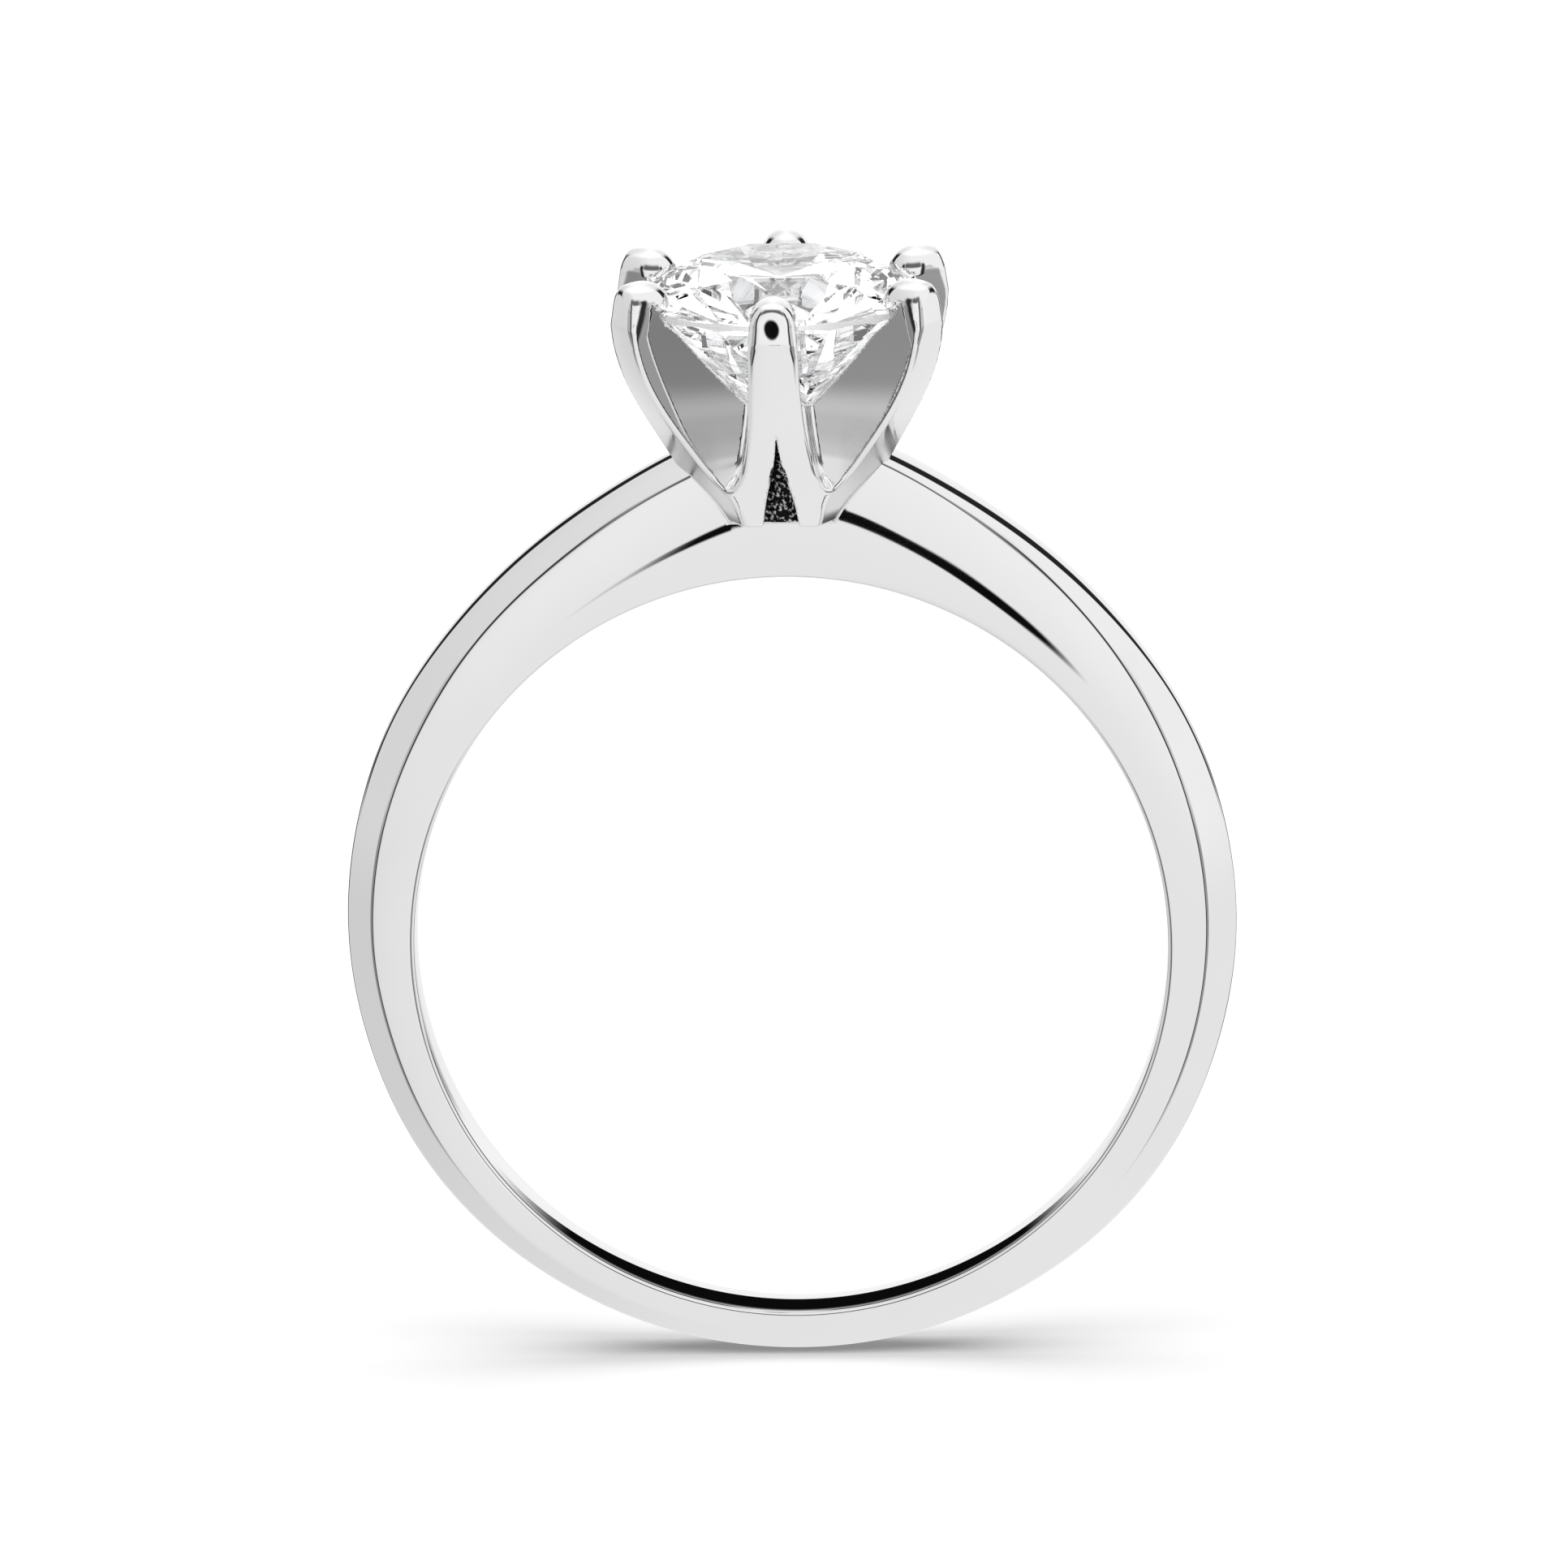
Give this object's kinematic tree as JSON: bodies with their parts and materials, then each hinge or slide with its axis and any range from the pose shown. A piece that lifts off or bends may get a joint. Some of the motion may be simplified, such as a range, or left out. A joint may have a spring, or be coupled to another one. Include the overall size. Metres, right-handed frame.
{
  "type": "solitaire engagement ring",
  "caption": "Finger ring: a round brilliant stone held up by a claw head, on a polished band that swells into bevelled shoulders. Worn on the finger as jewellery.",
  "frame": {"origin": "centre of the finger bore, on its axis, midway between the front and back walls of the shank", "axes": "+Z from the bore's centre up towards the stone, +Y along the finger bore towards the back, +X to the right when seen from the front"},
  "size_m": [0.0202, 0.0082, 0.0253],
  "materials": {
    "band_metal": "mirror-polished white gold or platinum",
    "head_metal": "mirror-polished cast white gold or platinum, rough inside the neck",
    "solder": "satin hard solder",
    "diamond": "polished colourless diamond"
  },
  "bodies": {
    "root": {"shank": "band_metal", "claw_head": "head_metal", "seat_solder": "solder", "diamond": "diamond"}
  },
  "joints": []
}
